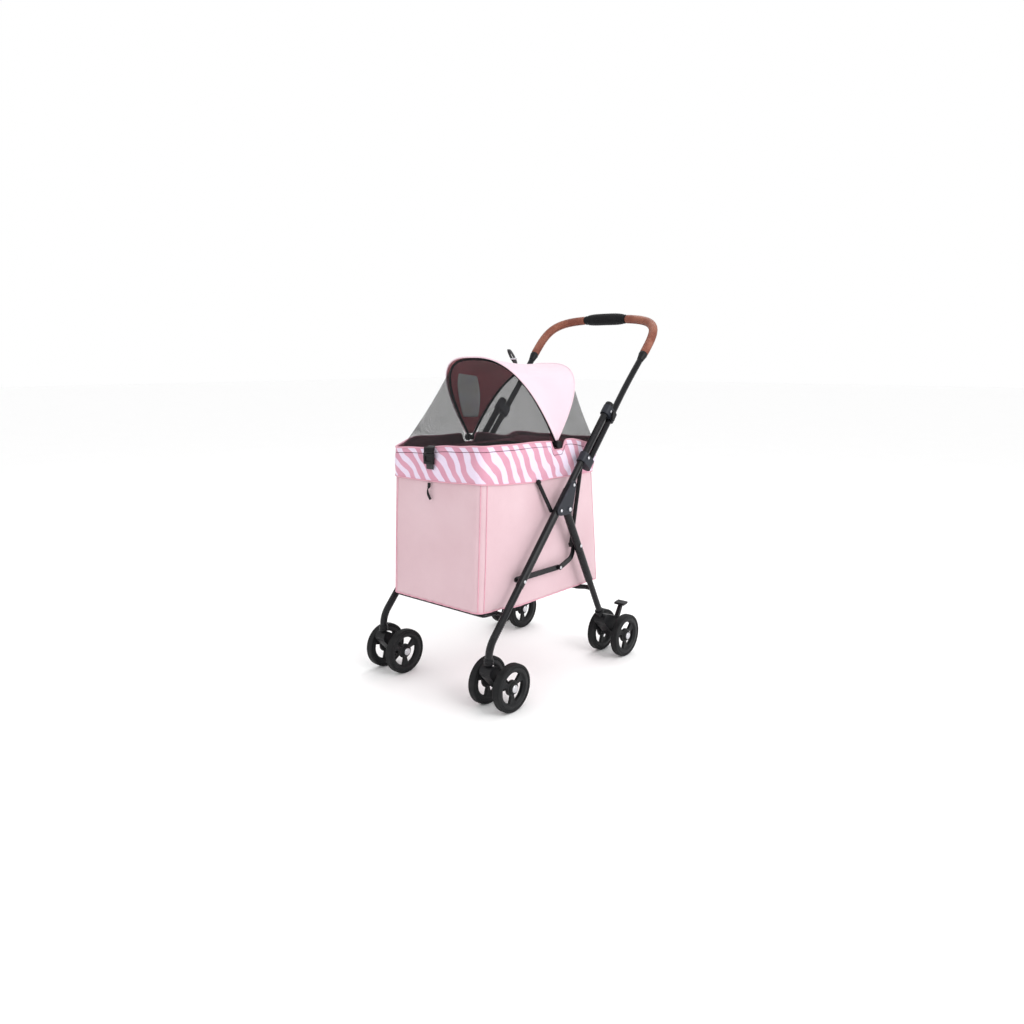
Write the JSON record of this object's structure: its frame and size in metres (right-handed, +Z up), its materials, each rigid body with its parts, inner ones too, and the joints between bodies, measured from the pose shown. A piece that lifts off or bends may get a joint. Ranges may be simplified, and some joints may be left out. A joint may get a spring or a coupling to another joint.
{
  "type": "folding pet stroller",
  "caption": "Folding pet stroller with a fabric cabin, hooped canopy with net windows, sliding bow handle and twin wheels.",
  "frame": {"origin": "on the ground, at the middle of the bounding box", "axes": "+Z up, +X to the stroller's left, -Y towards its front"},
  "size_m": [0.539, 0.8698, 1.0774],
  "materials": {
    "black_paint": "gloss black powder coat",
    "gunmetal": "dark grey moulded, satin",
    "black_plastic": "black moulded, satin",
    "steel": "bright rivets and axles",
    "leather": "brown stitched grip cover",
    "foam": "black soft sleeve",
    "tyre": "black, matte",
    "pink": "pale pink canvas",
    "stripe": "pink and pale lilac stripes",
    "canopy": "pale pink cloth with a maroon lining",
    "mesh": "black see-through net",
    "board": "dark stiff board",
    "mat": "dark red quilted pad"
  },
  "bodies": {
    "frame": {"front_leg_left": "black_paint", "front_leg_right": "black_paint", "hub_plate_left": "gunmetal", "hub_plate_right": "gunmetal", "hub_pin_left": "steel", "hub_pin_right": "steel", "upper_clamp_left": "gunmetal", "upper_clamp_right": "gunmetal", "rim_stay_left": "black_paint", "rim_stay_right": "black_paint", "hoop_socket_left": "black_plastic", "hoop_socket_right": "black_plastic", "front_cross_bar": "black_paint", "rim_frame": "black_paint", "bag_body": "pink", "collar_band": "stripe", "base_board": "board", "floor_mat": "mat", "strap_buckle": "black_plastic", "zip_pull": "black_plastic", "rear_hoop": "black_plastic", "canopy_sheet": "canopy", "front_mesh": "mesh", "rear_mesh": "mesh"},
    "front_canopy_hoop": {"front_hoop": "black_plastic"},
    "handle": {"handle_tube": "black_paint", "handle_grip_left": "leather", "handle_grip_right": "leather", "centre_sleeve": "foam", "lower_slider_left": "gunmetal", "lower_slider_right": "gunmetal"},
    "rear_legs": {"rear_leg_left": "black_paint", "rear_leg_right": "black_paint", "rear_cross_bar": "black_paint", "rear_housing_left": "black_plastic", "rear_housing_right": "black_plastic", "rear_axle_left": "steel", "rear_axle_right": "steel"},
    "struts": {"strut_left": "black_paint", "strut_right": "black_paint"},
    "curved_links": {"curved_link_left": "black_paint", "curved_link_right": "black_paint"},
    "front_links": {"front_link_left": "black_paint", "front_link_right": "black_paint"},
    "clamp_lever_left": {"clamp_lever_left": "black_plastic"},
    "clamp_lever_right": {"clamp_lever_right": "black_plastic"},
    "brake_left": {"brake_pedal_left": "black_plastic"},
    "brake_right": {"brake_pedal_right": "black_plastic"},
    "caster_left": {"caster_fork_left": "black_plastic", "caster_axle_left": "steel"},
    "caster_right": {"caster_fork_right": "black_plastic", "caster_axle_right": "steel"},
    "front_wheel_outer_left": {"front_wheel_outer_left": "tyre"},
    "front_wheel_inner_left": {"front_wheel_inner_left": "tyre"},
    "front_wheel_outer_right": {"front_wheel_outer_right": "tyre"},
    "front_wheel_inner_right": {"front_wheel_inner_right": "tyre"},
    "rear_wheel_outer_left": {"rear_wheel_outer_left": "tyre"},
    "rear_wheel_inner_left": {"rear_wheel_inner_left": "tyre"},
    "rear_wheel_outer_right": {"rear_wheel_outer_right": "tyre"},
    "rear_wheel_inner_right": {"rear_wheel_inner_right": "tyre"}
  },
  "joints": [
    {"name": "frame_fold", "type": "hinge", "parent": "frame", "child": "rear_legs", "pos_m": [0, -0.0805, 0.507], "axis": [-1, 0, 0], "range_deg": [0, 45]},
    {"name": "handle_slide", "type": "slide", "parent": "frame", "child": "handle", "axis": [0, -0.66, -0.7513], "range_m": [0, 0.0472]},
    {"name": "strut_swing", "type": "hinge", "parent": "rear_legs", "child": "struts", "pos_m": [0, -0.01832, 0.3883], "axis": [1, 0, 0], "range_deg": [0, 26.6]},
    {"name": "curved_link_swing", "type": "hinge", "parent": "rear_legs", "child": "curved_links", "pos_m": [0, -0.01832, 0.3883], "axis": [1, 0, 0], "range_deg": [0, 117.5]},
    {"name": "front_link_swing", "type": "hinge", "parent": "frame", "child": "front_links", "pos_m": [0, -0.27292, 0.33271], "axis": [-1, 0, 0], "range_deg": [0, 9.8]},
    {"name": "canopy_fold", "type": "hinge", "parent": "frame", "child": "front_canopy_hoop", "pos_m": [0, -0.0728, 0.688], "axis": [-1, 0, 0], "range_deg": [0, 55], "deforming": ["canopy_sheet", "front_mesh"]},
    {"name": "clamp_lever_left_flip", "type": "hinge", "parent": "frame", "child": "clamp_lever_left", "pos_m": [0.2303, 0.12973, 0.76831], "axis": [1, 0, 0], "range_deg": [0, 70]},
    {"name": "clamp_lever_right_flip", "type": "hinge", "parent": "frame", "child": "clamp_lever_right", "pos_m": [-0.2303, 0.12973, 0.76831], "axis": [1, 0, 0], "range_deg": [0, 70]},
    {"name": "brake_left_press", "type": "hinge", "parent": "rear_legs", "child": "brake_left", "pos_m": [0.212, 0.1997, 0.1085], "axis": [-1, 0, 0], "range_deg": [0, 25]},
    {"name": "brake_right_press", "type": "hinge", "parent": "rear_legs", "child": "brake_right", "pos_m": [-0.212, 0.1997, 0.1085], "axis": [-1, 0, 0], "range_deg": [0, 25]},
    {"name": "caster_left_swivel", "type": "hinge", "parent": "frame", "child": "caster_left", "pos_m": [0.212, -0.4095, 0.131], "axis": [0, 0, 1], "continuous": true},
    {"name": "caster_right_swivel", "type": "hinge", "parent": "frame", "child": "caster_right", "pos_m": [-0.212, -0.4095, 0.131], "axis": [0, 0, 1], "continuous": true},
    {"name": "front_wheel_outer_left_spin", "type": "hinge", "parent": "caster_left", "child": "front_wheel_outer_left", "pos_m": [0.2555, -0.3675, 0.067], "axis": [1, 0, 0], "continuous": true},
    {"name": "front_wheel_inner_left_spin", "type": "hinge", "parent": "caster_left", "child": "front_wheel_inner_left", "pos_m": [0.1685, -0.3675, 0.067], "axis": [1, 0, 0], "continuous": true},
    {"name": "front_wheel_outer_right_spin", "type": "hinge", "parent": "caster_right", "child": "front_wheel_outer_right", "pos_m": [-0.2555, -0.3675, 0.067], "axis": [1, 0, 0], "continuous": true},
    {"name": "front_wheel_inner_right_spin", "type": "hinge", "parent": "caster_right", "child": "front_wheel_inner_right", "pos_m": [-0.1685, -0.3675, 0.067], "axis": [1, 0, 0], "continuous": true},
    {"name": "rear_wheel_outer_left_spin", "type": "hinge", "parent": "rear_legs", "child": "rear_wheel_outer_left", "pos_m": [0.2555, 0.1832, 0.067], "axis": [1, 0, 0], "continuous": true},
    {"name": "rear_wheel_inner_left_spin", "type": "hinge", "parent": "rear_legs", "child": "rear_wheel_inner_left", "pos_m": [0.1685, 0.1832, 0.067], "axis": [1, 0, 0], "continuous": true},
    {"name": "rear_wheel_outer_right_spin", "type": "hinge", "parent": "rear_legs", "child": "rear_wheel_outer_right", "pos_m": [-0.2555, 0.1832, 0.067], "axis": [1, 0, 0], "continuous": true},
    {"name": "rear_wheel_inner_right_spin", "type": "hinge", "parent": "rear_legs", "child": "rear_wheel_inner_right", "pos_m": [-0.1685, 0.1832, 0.067], "axis": [1, 0, 0], "continuous": true}
  ],
  "couplings": [
    {"joint": "handle_slide", "follows": "frame_fold", "m_per_rad": 0.059937},
    {"joint": "strut_swing", "follows": "frame_fold", "ratio": 0.5868},
    {"joint": "curved_link_swing", "follows": "frame_fold", "ratio": 2.6027},
    {"joint": "front_link_swing", "follows": "frame_fold", "ratio": 0.21542}
  ]
}
